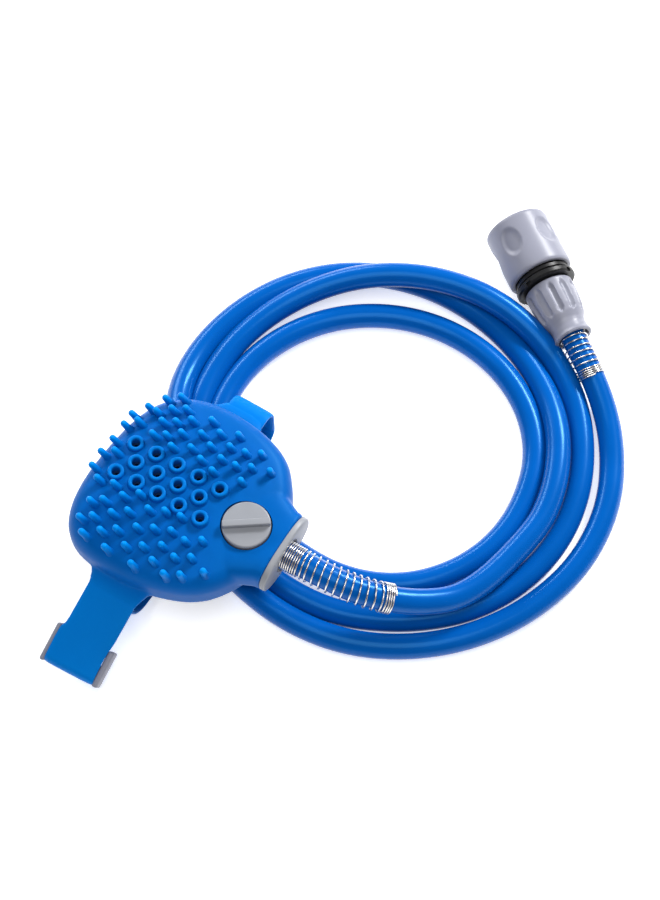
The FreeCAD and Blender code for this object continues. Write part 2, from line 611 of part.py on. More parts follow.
def route_edges(name, route):
    """Straight runs joined by the largest tangent arcs that the runs allow."""
    points = [Vector(x + SIZES["head_x"], y + SIZES["head_y"], z) for x, y, z in route]
    edges = []
    start = points[0]
    radii = []
    for before, corner, after in zip(points, points[1:], points[2:]):
        entering = (corner - before).normalize()
        leaving = (after - corner).normalize()
        turn = entering.getAngle(leaving)
        reach = 0.45 * min(corner.distanceToPoint(before), corner.distanceToPoint(after))
        radius = reach / math.tan(turn / 2)
        radii.append(radius)
        arc_start = corner - entering * reach
        arc_end = corner + leaving * reach
        inward = (leaving - entering).normalize()
        centre = corner + inward * math.hypot(radius, reach)
        middle = centre - inward * radius
        edges.append(Part.LineSegment(start, arc_start).toShape())
        edges.append(Part.Arc(arc_start, middle, arc_end).toShape())
        start = arc_end
    edges.append(Part.LineSegment(start, points[-1]).toShape())
    print("%s: length %.1f, arc radii %s" % (
        name, sum(edge.Length for edge in edges), ", ".join("%.0f" % radius for radius in radii)))
    return edges


def swept(edges, radius):
    path = Part.Wire(edges)
    first = edges[0]
    start = first.valueAt(first.FirstParameter)
    heading = first.tangentAt(first.FirstParameter)
    circle = Part.Wire(Part.Circle(start, heading, radius).toShape())
    return path.makePipeShell([circle], True, False)


def tube(name, edges, outer, inner):
    item = doc.addObject("Part::Feature", name)
    item.Shape = swept(edges, outer).cut(swept(edges, inner))
    item.Placement = FreeCAD.Placement(Vector(), FreeCAD.Rotation())
    wanted = math.pi * (outer ** 2 - inner ** 2) * sum(edge.Length for edge in edges)
    print("%s: volume %.0f, section times length %.0f" % (name, item.Shape.Volume, wanted))
    if abs(item.Shape.Volume / wanted - 1) > 0.01:
        raise ValueError(name + " has the wrong volume")
    return keep(item)


def stretch(edges, start, end):
    """The part of a path between two distances from its beginning."""
    taken = []
    passed = 0.0
    for edge in edges:
        low = max(start - passed, 0.0)
        high = min(end - passed, edge.Length)
        passed += edge.Length
        if high - low < 0.01:
            continue
        first = edge.getParameterByLength(low) if low > 0 else edge.FirstParameter
        last = edge.getParameterByLength(high) if high < edge.Length else edge.LastParameter
        taken.append(edge.Curve.toShape(first, last))
    return taken


def make_hose():
    lead = route_edges("hose_lead", LEAD_ROUTE)
    tail = route_edges("hose_tail", TAIL_ROUTE)
    tube("hose_lead", lead, SIZES["hose_radius"], SIZES["hose_bore"])
    tube("hose_tail", tail, SIZES["hose_radius"], SIZES["hose_bore"])
    start = SIZES["neck_end"] + 1.4 - LEAD_ROUTE[0][0]
    head_spring = stretch(lead, start, start + SIZES["head_spring"])
    tube("hose_spring_head", head_spring, SIZES["spring_outer"], SIZES["spring_inner"])
    backwards = route_edges("hose_tail from the tap", TAIL_ROUTE[::-1])
    start = SIZES["nut_end"] - 6.0 - SIZES["hose_end"]
    tap_spring = stretch(backwards, start, start + SIZES["tap_spring"])
    tube("hose_spring_tap", tap_spring, SIZES["spring_outer"], SIZES["spring_inner"])


def oval_block(name, major, minor, at, height):
    oval = doc.addObject("Part::Ellipse", name + "_oval")
    oval.setExpression("MajorRadius", rule(major))
    oval.setExpression("MinorRadius", rule(minor))
    block = doc.addObject("Part::Extrusion", name)
    block.Base = oval
    block.Dir = Vector(0, 0, 1)
    block.DirMode = "Custom"
    block.setExpression("LengthFwd", rule(height))
    block.Solid = True
    return place(block, at, FreeCAD.Rotation(UP, SIZES["coil_turn"]))


def make_coil():
    outer = oval_block("coil_outer", "coil_major", "coil_minor", ("coil_x", "coil_y", 0), "coil_height")
    doc.recompute()
    rounded = doc.addObject("Part::Fillet", "coil_rounded")
    rounded.Base = outer
    rounded.Edges = [(index + 1, SIZES["coil_round"], SIZES["coil_round"])
                     for index, edge in enumerate(outer.Shape.Edges)
                     if edge.BoundBox.ZMin > SIZES["coil_height"] - 0.1]
    hole = oval_block("coil_hole", "hole_major", "hole_minor", ("hole_x", "hole_y", -1), 30)
    channel = box("coil_channel", "channel_wide", 175, ("channel_height", 1), ("channel_left", -100, -1))
    keep(cut("hose_coil", rounded, hole, channel))


# ---- tap connector -----------------------------------------------------------------------------

def tap_rotation(angle=0.0):
    """The connector's own axes: Z from the mouth to the hose, X up at angle 0."""
    heading = math.radians(SIZES["tap_heading"])
    along = Vector(math.cos(heading), math.sin(heading), 0)
    base = FreeCAD.Rotation(UP, along.cross(UP) * -1, along, "ZXY")
    return base.multiply(FreeCAD.Rotation(UP, angle))


def on_tap(offset, angle):
    """A point of the connector given in its own axes, turned by an angle about its axis."""
    point = tap_rotation(angle).multVec(Vector(*offset))
    return (("tap_x", point.x), ("tap_y", point.y), ("tap_z", point.z))


def tap_turned(name, profile):
    return turned(name, profile, ("tap_x", "tap_y", "tap_z"), tap_rotation())


def make_connector_core():
    seal_end = ("seal_start", "seal_width")
    socket_end = ("socket_start", "socket_length")
    blank = tap_turned("core_blank", [
        ("core_entry", 1.5), ("core_radius", 1.5), ("core_radius", "flange_start"),
        (("ring_radius", -0.4), "flange_start"), ("ring_radius", ("flange_start", 0.4)),
        ("ring_radius", "groove_start"), ("groove_radius", "groove_start"),
        ("groove_radius", "lug_start"), (("lug_radius", -0.6), "lug_start"),
        ("lug_radius", ("lug_start", 0.7)), ("lug_radius", ("lug_end", -0.8)),
        (("lug_radius", -0.8), "lug_end"), ("thread_radius", "lug_end"), ("thread_radius", "thread_end"),
        (6.6, "thread_end"), (6.6, ("hose_end", 0)), ("barb_radius", ("hose_end", 0)),
        ("barb_radius", "tap_barb_end"), ("barb_bore", "tap_barb_end"),
        ("barb_bore", socket_end), ("socket_radius", socket_end), ("socket_radius", seal_end),
        ("seal_outer", seal_end), ("seal_outer", "seal_start"), ("socket_radius", "seal_start"),
        ("socket_radius", "socket_start"), ("core_entry", "socket_start")])
    windows = []
    for index in range(3):
        angle = 120 * index
        width = SIZES["claw_width"] + 0.6
        corner = (7.0, -width / 2, SIZES["claw_start"] - 0.3)
        windows.append(box("claw_window_%d" % (index + 1), 8, width, ("claw_length", 0.6),
                           on_tap(corner, angle), tap_rotation(angle)))
    notches = []
    for index in range(4):
        angle = 90 * index + 45
        corner = (15.3, -1.5, SIZES["lug_end"] - 1.8)
        notches.append(box("ring_notch_%d" % (index + 1), 3, 3, 2.2, on_tap(corner, angle),
                           tap_rotation(angle)))
    keep(cut("connector_core", blank, *windows, *notches))
    keep(tap_turned("tap_seal", [("socket_radius", "seal_start"), ("seal_outer", "seal_start"),
                                 ("seal_outer", seal_end), ("socket_radius", seal_end)]))


def make_claws():
    for index in range(3):
        angle = 120 * index
        ring = tap_turned("claw_ring_%d" % (index + 1), [
            ("claw_inner", ("claw_start", 1.0)), (("claw_inner", 1.0), "claw_start"),
            ("claw_outer", "claw_start"), ("claw_outer", ("claw_start", "claw_length")),
            ("claw_inner", ("claw_start", "claw_length"))])
        corner = (6.0, -SIZES["claw_width"] / 2, 0)
        block = box("claw_block_%d" % (index + 1), 10, "claw_width", 12, on_tap(corner, angle),
                    tap_rotation(angle))
        keep(common("lock_claw_%d" % (index + 1), ring, block))


def make_collar():
    blank = tap_turned("collar_blank", [
        ("collar_recess", 0), (("collar_radius", -1.6), 0), (("collar_radius", -0.6), 0.8),
        ("collar_radius", 4.0), ("collar_radius", 12.0), (("collar_radius", -0.5), 16.0),
        (("collar_radius", -0.5), 25.0), ("collar_radius", 28.5),
        ("collar_radius", ("collar_length", -1.0)), (("collar_radius", -1.0), "collar_length"),
        ("collar_bore", "collar_length"), ("collar_bore", 8.5), ("collar_land", 8.5),
        ("collar_land", 3.5), ("collar_recess", 3.5)])
    dimples = []
    for index in range(10):
        angle = 36 * index + 18
        place_at = on_tap((SIZES["collar_radius"] + 0.4, 0, 20.0), angle)
        dimple = primitive("Ellipsoid", "dimple_%d" % (index + 1), place_at, tap_rotation(angle),
                           Radius1=7.5, Radius2=1.7, Radius3=3.2)
        dimples.append(dimple)
    keep(cut("release_collar", blank, *dimples))
    keep(tap_turned("collar_spring", [(13.3, 9.0), (14.7, 9.0), (14.7, 33.0), (13.3, 33.0)]))


def make_nut():
    blank = tap_turned("nut_blank", [
        (("thread_radius", 0.05), "nut_start"), (("nut_radius", -0.8), "nut_start"),
        ("nut_radius", ("nut_start", 0.8)), ("nut_radius", ("nut_start", 11.0)),
        (("nut_radius", -0.9), ("nut_start", 13.0)), (10.4, ("nut_end", -6.5)),
        (9.9, ("nut_end", -4.0)), (10.3, ("nut_end", -2.0)), (10.3, ("nut_end", -0.6)),
        (9.9, "nut_end"), (8.6, "nut_end"), (8.6, ("collet_end", 0.5)),
        (("collet_radius", 0.1), ("collet_end", 0.5)), (("collet_radius", 0.1), ("thread_end", 0.5)),
        (("thread_radius", 0.05), ("thread_end", 0.5))])
    flutes = []
    for index in range(14):
        angle = 360 / 14 * index
        start = on_tap((SIZES["nut_radius"] + 0.9, 0, SIZES["nut_start"] - 1.0), angle)
        flutes.append(cylinder("nut_flute_%d" % (index + 1), 1.6, 27, start, tap_rotation(angle)))
    keep(cut("hose_nut", blank, *flutes))
    ring = tap_turned("collet_ring", [
        (6.6, "collet_start"), ("collet_radius", "collet_start"),
        ("collet_radius", ("collet_start", 4.0)), (("collet_radius", -1.4), "collet_end"),
        (6.6, "collet_end")])
    slots = []
    for index in range(3):
        angle = 60 * index
        slots.append(box("collet_slot_%d" % (index + 1), 24, 1.2, 6,
                         on_tap((-12, -0.6, SIZES["collet_start"] + 3.0), angle), tap_rotation(angle)))
    keep(cut("hose_collet", ring, *slots))


def check_and_write():
    doc.recompute()
    failed = [item.Name for item in doc.Objects if "Invalid" in item.State or "Error" in item.State]
    if failed:
        raise ValueError("failed objects: " + ", ".join(failed))
    os.makedirs("parts", exist_ok=True)
    for item in parts:
        shape = item.Shape
        if shape.isNull() or not shape.isValid() or not shape.Solids:
            raise ValueError(item.Label + " is not a valid solid")
        shape.exportStep("parts/%s.step" % item.Label)
        extent = shape.BoundBox
        print("%-18s solids %d volume %9.1f  x %.1f..%.1f  y %.1f..%.1f  z %.2f..%.2f" % (
            item.Label, len(shape.Solids), shape.Volume, extent.XMin, extent.XMax,
            extent.YMin, extent.YMax, extent.ZMin, extent.ZMax))


make_scrubber_face()
make_hand_strap()
make_strap_tongue()
make_buckle()
make_chamber()
make_screws()
make_valve()
make_knob()
make_neck()
make_hose_barb()
make_hose()
make_coil()
make_connector_core()
make_claws()
make_collar()
make_nut()
check_and_write()
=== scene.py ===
"""Handheld bath sprayer: silicone scrubber head, hand strap, coiled hose and tap connector."""

import json
import math

import bmesh
import bpy
from mathutils import Matrix, Vector


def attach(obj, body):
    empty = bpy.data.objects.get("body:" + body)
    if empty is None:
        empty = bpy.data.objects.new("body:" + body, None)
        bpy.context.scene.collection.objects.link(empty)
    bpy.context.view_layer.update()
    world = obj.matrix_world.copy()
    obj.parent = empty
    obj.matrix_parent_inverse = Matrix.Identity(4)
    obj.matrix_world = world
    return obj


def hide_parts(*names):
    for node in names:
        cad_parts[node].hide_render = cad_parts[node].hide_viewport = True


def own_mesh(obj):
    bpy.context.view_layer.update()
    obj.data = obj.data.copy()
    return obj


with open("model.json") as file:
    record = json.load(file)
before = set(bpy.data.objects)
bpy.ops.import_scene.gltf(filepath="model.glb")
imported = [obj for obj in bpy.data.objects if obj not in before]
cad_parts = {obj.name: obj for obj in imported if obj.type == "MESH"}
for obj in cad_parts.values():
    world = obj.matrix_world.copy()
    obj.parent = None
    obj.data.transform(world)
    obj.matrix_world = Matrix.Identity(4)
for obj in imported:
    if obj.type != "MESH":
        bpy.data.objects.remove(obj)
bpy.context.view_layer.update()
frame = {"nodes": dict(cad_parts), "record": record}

MM = 0.001
HEAD_X, HEAD_Y = -16.0, 16.6          # the head's coordinates in the frame, mm
CROWN_TOP, CROWN_RADIUS, CROWN_MIDDLE = 53.5, 205.0, (4.0, 1.75)
NUBS_END = 39.5                       # no nubs stand past here, towards the neck
STRAP_START, STRAP_PAINTED_LIGHT = 50.0, 0.5   # where the straps leave the pad, and how strongly painted light lightens them
NECK_LINE = (0.6, 39.6)               # side and height of the hose's line through the neck


def head(x, y, z):
    """A point of the head's coordinates, in mm, as a point of the frame, in metres."""
    return Vector(((x + HEAD_X) * MM, (y + HEAD_Y) * MM, z * MM))


# ---- camera and light --------------------------------------------------------------------------

CAMERA_HEADING = Vector((-0.2202, 0.3609, -0.9063)).normalized()
CAMERA_TARGET, CAMERA_DISTANCE = (43.36, 75.77, 0.0), 1.105


def add_camera():
    data = bpy.data.cameras.new("camera")
    data.lens = 85.0
    data.sensor_width = 36.0
    data.clip_start = 0.05
    camera = bpy.data.objects.new("camera", data)
    bpy.context.collection.objects.link(camera)
    camera.location = head(*CAMERA_TARGET) - CAMERA_HEADING * CAMERA_DISTANCE
    camera.rotation_euler = CAMERA_HEADING.to_track_quat("-Z", "Y").to_euler()
    bpy.context.scene.camera = camera


def add_area(name, place, aim, size, power):
    data = bpy.data.lights.new(name, "AREA")
    data.shape = "RECTANGLE"
    data.size, data.size_y = size
    data.energy = power
    light = bpy.data.objects.new(name, data)
    bpy.context.collection.objects.link(light)
    light.location = place
    direction = Vector(aim) - Vector(place)
    light.rotation_euler = direction.to_track_quat("-Z", "Y").to_euler()


def add_studio():
    world = bpy.data.worlds.new("studio")
    bpy.context.scene.world = world
    world.use_nodes = True
    background = world.node_tree.nodes["Background"]
    background.inputs["Color"].default_value = (1.0, 1.0, 1.0, 1.0)
    background.inputs["Strength"].default_value = 0.24
    bpy.context.scene.view_settings.view_transform = "Standard"
    middle = (0.03, 0.09, 0.0)
    add_area("key", (0.30, 1.25, 0.85), middle, (0.5, 0.25), 26.0)
    add_area("fill", (-0.90, 0.60, 0.5), middle, (0.9, 0.2), 8.0)
    add_area("top", (0.2, -0.3, 1.5), middle, (1.0, 1.0), 13.0)


FLOOR_REACH, FLOOR_HEIGHT = 3.0, -0.0003


def add_floor():
    mesh = bpy.data.meshes.new("floor")
    signs = ((-1, -1), (1, -1), (1, 1), (-1, 1))
    corners = [(x * FLOOR_REACH, y * FLOOR_REACH, FLOOR_HEIGHT) for x, y in signs]
    mesh.from_pydata(corners, [], [(0, 1, 2, 3)])
    floor = bpy.data.objects.new("floor", mesh)
    bpy.context.collection.objects.link(floor)
    mesh.materials.append(floor_material())


# ---- materials ---------------------------------------------------------------------------------

def new_material(name):
    material = bpy.data.materials.new(name)
    material.use_nodes = True
    nodes = material.node_tree.nodes
    return material, nodes, material.node_tree.links, nodes["Principled BSDF"]


def add_noise(nodes, scale, detail=3.0):
    """Noise in the object's own metres, so that its size is real."""
    place = nodes.new("ShaderNodeTexCoord")
    texture = nodes.new("ShaderNodeTexNoise")
    texture.inputs["Scale"].default_value = scale
    texture.inputs["Detail"].default_value = detail
    return place, texture


def computed(nodes, links, operation, first, second=None):
    """The output of a math node, whose inputs are numbers or other nodes' outputs."""
    node = nodes.new("ShaderNodeMath")
    node.operation = operation
    for socket, value in zip(node.inputs, (first, second)):
        if isinstance(value, float):
            socket.default_value = value
        elif value is not None:
            links.new(value, socket)
    return node.outputs["Value"]


def graded(nodes, links, value, low, high, most=1.0):
    """A share that grows from 0 to most as a value goes from low to high."""
    share = nodes.new("ShaderNodeMapRange")
    share.inputs["From Min"].default_value = low
    share.inputs["From Max"].default_value = high
    share.inputs["To Max"].default_value = most
    links.new(value, share.inputs["Value"])
    return share.outputs["Result"]


def nub_and_strap_painted_light(nodes, links, place, tone, painted_light_colour):
    """Painted light: the nubs' tips above the crown and the straps are painted a lighter colour, standing in
    for the light that falls on them.
    """
    above = nodes.new("ShaderNodeVectorMath")
    above.operation = "DISTANCE"
    above.inputs[1].default_value = head(*CROWN_MIDDLE, CROWN_TOP - CROWN_RADIUS)
    links.new(place.outputs["Object"], above.inputs[0])
    parts = nodes.new("ShaderNodeSeparateXYZ")
    links.new(place.outputs["Object"], parts.inputs["Vector"])
    # painted highlight: the nubs are painted lighter the higher they stand above the crown
    share = graded(nodes, links, above.outputs["Value"],
                   (CROWN_RADIUS + 0.5) * MM, (CROWN_RADIUS + 6.5) * MM)
    off_neck = computed(nodes, links, "LESS_THAN", parts.outputs["X"], head(NUBS_END, 0, 0).x)
    nub_tip_painted_light = computed(nodes, links, "MULTIPLY", share, off_neck)
    across = computed(nodes, links, "SUBTRACT", parts.outputs["Y"], head(0, 0, 0).y)
    from_middle = computed(nodes, links, "ABSOLUTE", across)
    # painted light: the straps are painted lighter past where they leave the pad
    strap_painted_light = graded(nodes, links, from_middle, STRAP_START * MM, (STRAP_START + 9.0) * MM, STRAP_PAINTED_LIGHT)
    mixed = nodes.new("ShaderNodeMix")
    mixed.data_type = "RGBA"
    links.new(computed(nodes, links, "MAXIMUM", nub_tip_painted_light, strap_painted_light), mixed.inputs[0])
    links.new(tone, mixed.inputs[6])
    mixed.inputs[7].default_value = (*painted_light_colour, 1.0)
    return mixed.outputs[2]


def uneven_gloss(nodes, links, shader, texture, low, high):
    gloss = nodes.new("ShaderNodeMapRange")
    gloss.inputs["To Min"].default_value = low
    gloss.inputs["To Max"].default_value = high
    links.new(texture.outputs["Fac"], gloss.inputs["Value"])
    links.new(gloss.outputs["Result"], shader.inputs["Roughness"])


def moulded(name, colour, variation, roughness, grain_scale, bump, specular=0.5, subsurface=0.0,
            tint=(1.0, 1.0, 1.0), painted_light_colour=None):
    """Moulded plastic, silicone or vinyl: faint colour drift, uneven gloss and a fine grain."""
    material, nodes, links, shader = new_material(name)
    place, drift = add_noise(nodes, 45.0)
    links.new(place.outputs["Object"], drift.inputs["Vector"])
    ramp = nodes.new("ShaderNodeValToRGB")
    dark = [channel * (1.0 - variation) for channel in colour]
    light = [min(channel * (1.0 + variation), 1.0) for channel in colour]
    ramp.color_ramp.elements[0].position = 0.3
    ramp.color_ramp.elements[0].color = (*dark, 1.0)
    ramp.color_ramp.elements[1].position = 0.7
    ramp.color_ramp.elements[1].color = (*light, 1.0)
    links.new(drift.outputs["Fac"], ramp.inputs["Fac"])
    tone = ramp.outputs["Color"]
    # painted light on the nubs' tips and the straps, where a light colour is given
    if painted_light_colour:
        tone = nub_and_strap_painted_light(nodes, links, place, tone, painted_light_colour)
    links.new(tone, shader.inputs["Base Color"])
    uneven_gloss(nodes, links, shader, drift, roughness * 0.85, roughness * 1.15)
    place_fine, grain = add_noise(nodes, grain_scale, 2.0)
    links.new(place_fine.outputs["Object"], grain.inputs["Vector"])
    relief = nodes.new("ShaderNodeBump")
    relief.inputs["Strength"].default_value = 0.35
    relief.inputs["Distance"].default_value = bump
    links.new(grain.outputs["Fac"], relief.inputs["Height"])
    links.new(relief.outputs["Normal"], shader.inputs["Normal"])
    shader.inputs["IOR"].default_value = 1.45
    shader.inputs["Specular IOR Level"].default_value = specular
    shader.inputs["Specular Tint"].default_value = (*tint, 1.0)
    shader.inputs["Subsurface Weight"].default_value = subsurface
    shader.inputs["Subsurface Radius"].default_value = (0.0005, 0.001, 0.002)
    return material


def steel_material():
    """Bright drawn wire with a little tarnish."""
    material, nodes, links, shader = new_material("spring_wire")
    place, tarnish = add_noise(nodes, 220.0, 4.0)
    links.new(place.outputs["Object"], tarnish.inputs["Vector"])
    ramp = nodes.new("ShaderNodeValToRGB")
    ramp.color_ramp.elements[0].color = (0.30, 0.25, 0.20, 1.0)
    ramp.color_ramp.elements[1].color = (0.72, 0.71, 0.69, 1.0)
    ramp.color_ramp.elements[1].position = 0.55
    links.new(tarnish.outputs["Fac"], ramp.inputs["Fac"])
    links.new(ramp.outputs["Color"], shader.inputs["Base Color"])
    uneven_gloss(nodes, links, shader, tarnish, 0.14, 0.30)
    shader.inputs["Metallic"].default_value = 1.0
    return material


def floor_material():
    material, _, _, shader = new_material("studio_floor")
    shader.inputs["Base Color"].default_value = (0.93, 0.93, 0.93, 1.0)
    shader.inputs["Roughness"].default_value = 0.9
    shader.inputs["Emission Color"].default_value = (1.0, 1.0, 1.0, 1.0)
    shader.inputs["Emission Strength"].default_value = 0.5
    return material


# the silicone's lighter second colour is painted light on the nubs' tips and the straps
SILICONE = moulded("blue_silicone", (0.0, 0.095, 0.385), 0.05, 0.45, 2600.0, 0.00004, specular=0.2,
                   subsurface=0.04, tint=(0.1, 0.6, 1.0), painted_light_colour=(0.0, 0.23, 0.74))
HOSE = moulded("blue_vinyl", (0.0, 0.086, 0.385), 0.04, 0.24, 900.0, 0.00002, specular=0.4,
               tint=(0.15, 0.6, 1.0))
GREY = moulded("grey_plastic", (0.235, 0.242, 0.30), 0.04, 0.36, 3200.0, 0.00004, specular=0.4)
PALE_GREY = moulded("pale_grey_plastic", (0.265, 0.277, 0.305), 0.03, 0.40, 3200.0, 0.00004, specular=0.35)
BLACK = moulded("black_plastic", (0.010, 0.010, 0.011), 0.15, 0.38, 2400.0, 0.00004, specular=0.32)
INNER = moulded("inner_plastic", (0.003, 0.02, 0.075), 0.06, 0.45, 2800.0, 0.00004, specular=0.1)
SEAL = moulded("seal_rubber", (0.02, 0.02, 0.02), 0.15, 0.6, 1800.0, 0.00005)
STEEL = steel_material()

SLOT_MATERIALS = {
    "blue_silicone": SILICONE, "blue_hose": HOSE, "grey_plastic": GREY, "pale_grey_plastic": PALE_GREY,
    "black_plastic": BLACK, "inner_plastic": INNER, "seal_rubber": SEAL, "spring_steel": STEEL}


def dress_cad():
    """Every CAD node takes the detailed material of its record slot."""
    slots = {part["node"]: part["material_slot"] for part in frame["record"]["subparts"]}
    for name, node in frame["nodes"].items():
        for slot in node.material_slots:
            slot.material = SLOT_MATERIALS[slots[name]]


# ---- making pieces -----------------------------------------------------------------------------

def add_piece(name, mesh, material, body, replaced=()):
    mesh.materials.append(material)
    piece = bpy.data.objects.new(name, mesh)
    bpy.context.collection.objects.link(piece)
    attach(piece, body)
    if replaced:
        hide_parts(*replaced)
    return piece


def mesh_from_rings(name, rings, closed_ends=True):
    """A skin over rings of equally many points; a ring of one point closes an end."""
    mesh = bmesh.new()
    rows = [[mesh.verts.new(point) for point in ring] for ring in rings]
    for lower, upper in zip(rows, rows[1:]):
        count = max(len(lower), len(upper))
        for index in range(count):
            following = (index + 1) % count
            if len(lower) == 1:
                mesh.faces.new((lower[0], upper[index], upper[following]))
            elif len(upper) == 1:
                mesh.faces.new((lower[index], upper[0], lower[following]))
            else:
                mesh.faces.new((lower[index], upper[index], upper[following], lower[following]))
    if closed_ends:
        for row in (rows[0], rows[-1]):
            if len(row) > 2:
                mesh.faces.new(row)
    bmesh.ops.recalc_face_normals(mesh, faces=mesh.faces)
    data = bpy.data.meshes.new(name)
    mesh.to_mesh(data)
    mesh.free()
    return data


def shade_smooth(mesh, angle=None):
    mesh.polygons.foreach_set("use_smooth", [True] * len(mesh.polygons))
    if angle is not None:
        mesh.set_sharp_from_angle(angle=math.radians(angle))


def applied(piece):
    """The piece's mesh with its modifiers applied."""
    graph = bpy.context.evaluated_depsgraph_get()
    made = bpy.data.meshes.new_from_object(piece.evaluated_get(graph))
    old = piece.data
    piece.modifiers.clear()
    piece.data = made
    bpy.data.meshes.remove(old)
    return made


def loose_object(name, mesh):
    item = bpy.data.objects.new(name, mesh)
    bpy.context.collection.objects.link(item)
    return item


def cut_away(piece, tool_mesh):
    """Take a closed tool's room out of a piece."""
    tool = loose_object("tool", tool_mesh)
    cutter = piece.modifiers.new("cut", "BOOLEAN")
    cutter.operation = "DIFFERENCE"
    cutter.solver = "EXACT"
    cutter.object = tool
    applied(piece)
    bpy.data.objects.remove(tool)


def turned_rings(profile, place, segments=64):
    """Rings of a profile of (radius, height) turned about the Z axis of a place."""
    rings = []
    for radius, height in profile:
        if radius == 0.0:
            rings.append([place @ Vector((0, 0, height))])
            continue
        ring = []
        for index in range(segments):
            angle = 2 * math.pi * index / segments
            ring.append(place @ Vector((radius * math.cos(angle), radius * math.sin(angle), height)))
        rings.append(ring)
    return rings


def upright_at(x, y, z):
    """A place in mm of the head's coordinates whose Z axis is up."""
    return Matrix.Translation(head(x, y, z)) @ Matrix.Scale(MM, 4)


def join(pieces):
    """One mesh of several meshes."""
    mesh = bmesh.new()
    for piece in pieces:
        mesh.from_mesh(piece)
    data = bpy.data.meshes.new(pieces[0].name + "_joined")
    mesh.to_mesh(data)
    mesh.free()
    return data


# ---- hose --------------------------------------------------------------------------------------
# Points of the route that isn't coiled, as in the part's source, in the head's coordinates.

HOSE_DIAMETER = 13.0
LEAD_ROUTE = [
    (58.0, 0.6, 39.6), (83.0, 0.6, 39.6), (107.0, 4.8, 34.5), (130.0, 17.2, 25.4),
    (149.0, 37.0, 18.5)]
TAIL_ROUTE = [
    (22.0, -6.0, 9.0), (45.0, -13.5, 7.0), (75.0, -17.6, 6.5), (106.0, -13.2, 6.5),
    (134.0, 0.6, 6.5), (158.0, 21.6, 6.5), (176.4, 50.0, 6.5), (186.4, 85.0, 6.5),
    (183.2, 121.0, 6.5), (168.6, 151.6, 6.5), (149.6, 172.4, 11.0), (126.0, 188.2, 17.5),
    (99.6, 207.4, 17.5)]

COIL_MIDDLE = (76.5, 85.8)
COIL_STEP = 14.0       # degrees between points of a turn
COIL_ZERO = 31.4       # where the turns' angle starts, in the head's coordinates
CORNER_GAIN = 1.0045   # the spline cuts inside its points by this much
# how the coil opens: degrees turned, distance from its middle and height, in mm
COIL_SHAPE = [
    (-32, 81.9, 15.0), (-10, 82.6, 13.4), (8, 84.8, 12.0), (20, 86.8, 9.4), (32, 88.9, 6.6),
    (45, 91.7, 6.5), (60, 96.1, 6.5), (75, 102.0, 6.5), (90, 108.4, 6.5), (110, 115.3, 6.5),
    (130, 119.0, 6.5), (148, 120.2, 7.0), (160, 118.8, 10.0), (172, 113.5, 18.0),
    (182, 106.0, 21.8), (196, 93.0, 21.8), (208, 82.5, 19.8), (220, 75.5, 13.5),
    (233, 71.8, 8.0), (250, 70.2, 6.5), (270, 69.3, 6.5), (295, 68.3, 6.5), (320, 68.6, 6.5),
    (345, 70.0, 6.5), (360, 72.4, 6.5), (390, 75.5, 6.5), (420, 79.0, 6.5), (450, 84.0, 6.5),
    (480, 90.2, 6.5), (505, 94.4, 6.5), (520, 95.2, 7.2), (540, 94.4, 8.8), (565, 94.2, 8.8),
    (590, 90.5, 7.0), (605, 89.5, 6.5), (630, 87.3, 6.5), (660, 90.0, 6.5), (690, 93.3, 6.5),
    (720, 96.4, 6.5), (745, 101.2, 7.0), (760, 102.1, 11.8), (772, 102.4, 16.4),
    (788, 102.0, 19.5), (803, 102.4, 19.5), (818, 103.9, 17.0), (832, 105.1, 13.5),
    (846, 106.3, 10.2), (862, 107.2, 8.0), (880, 106.5, 8.0), (905, 104.6, 8.8)]


def eased(turn):
    """Distance and height of the coil at an angle, by smooth interpolation."""
    last = len(COIL_SHAPE) - 1
    index = max(i for i in range(last) if COIL_SHAPE[i][0] <= turn or i == 0)
    near, far = COIL_SHAPE[index], COIL_SHAPE[index + 1]
    before, after = COIL_SHAPE[max(index - 1, 0)], COIL_SHAPE[min(index + 2, last)]
    width = far[0] - near[0]
    part = (turn - near[0]) / width
    result = []
    for item in (1, 2):
        start_slope = (far[item] - before[item]) / (far[0] - before[0])
        end_slope = (after[item] - near[item]) / (after[0] - near[0])
        square, cube = part ** 2, part ** 3
        result.append((2 * cube - 3 * square + 1) * near[item]
                      + (cube - 2 * square + part) * width * start_slope
                      + (3 * square - 2 * cube) * far[item]
                      + (cube - square) * width * end_slope)
    return result


def coil_points():
    first, last = COIL_SHAPE[0][0], COIL_SHAPE[-1][0]
    steps = round((last - first) / COIL_STEP)
    for index in range(steps + 1):
        turn = first + (last - first) * index / steps
        radius, height = eased(turn)
        angle = math.radians(turn + COIL_ZERO)
        reach = radius * CORNER_GAIN
        yield (COIL_MIDDLE[0] + reach * math.cos(angle), COIL_MIDDLE[1] + reach * math.sin(angle), height)


def add_hose():
    curve = bpy.data.curves.new("hose", "CURVE")
    curve.dimensions = "3D"
    curve.resolution_u = 8
    spline = curve.splines.new("NURBS")
    route = LEAD_ROUTE + list(coil_points()) + TAIL_ROUTE
    spline.points.add(len(route) - 1)
    for point, place in zip(spline.points, route):
        point.co = (*head(*place), 1.0)
    spline.order_u = 3
    spline.use_endpoint_u = True
    hose = bpy.data.objects.new("hose", curve)
    bpy.context.collection.objects.link(hose)
    line = bpy.data.meshes.new_from_object(hose)
    path = [vertex.co.copy() for vertex in line.vertices]
    bpy.data.meshes.remove(line)
    curve.bevel_depth = HOSE_DIAMETER / 2 * MM
    curve.bevel_resolution = 8
    curve.materials.append(HOSE)
    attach(hose, "sprayer")
    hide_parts("hose_lead", "hose_coil", "hose_tail")
    return hose, path


